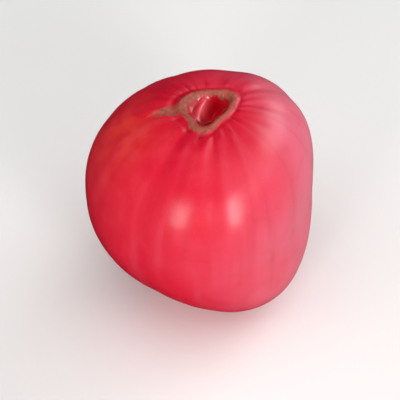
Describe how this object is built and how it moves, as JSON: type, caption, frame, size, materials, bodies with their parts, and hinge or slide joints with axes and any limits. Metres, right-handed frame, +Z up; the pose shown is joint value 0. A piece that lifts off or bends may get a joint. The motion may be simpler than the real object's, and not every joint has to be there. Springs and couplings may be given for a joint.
{
  "type": "bulls egg tomato",
  "caption": "Egg-shaped ripe red tomato with a leaning blossom end, soft lobes and a corky stalk scar, standing on a small flat spot.",
  "frame": {"origin": "on the surface the fruit stands on, below the middle of its box", "axes": "+Z up through the stalk scar, +X towards the side the blossom end leans to, -Y towards the viewer of the picture"},
  "size_m": [0.0828, 0.079, 0.0876],
  "materials": {
    "skin": "satin ripe red skin with pink bloom and a tan corky stalk scar"
  },
  "bodies": {
    "root": {"fruit": "skin"}
  },
  "joints": []
}
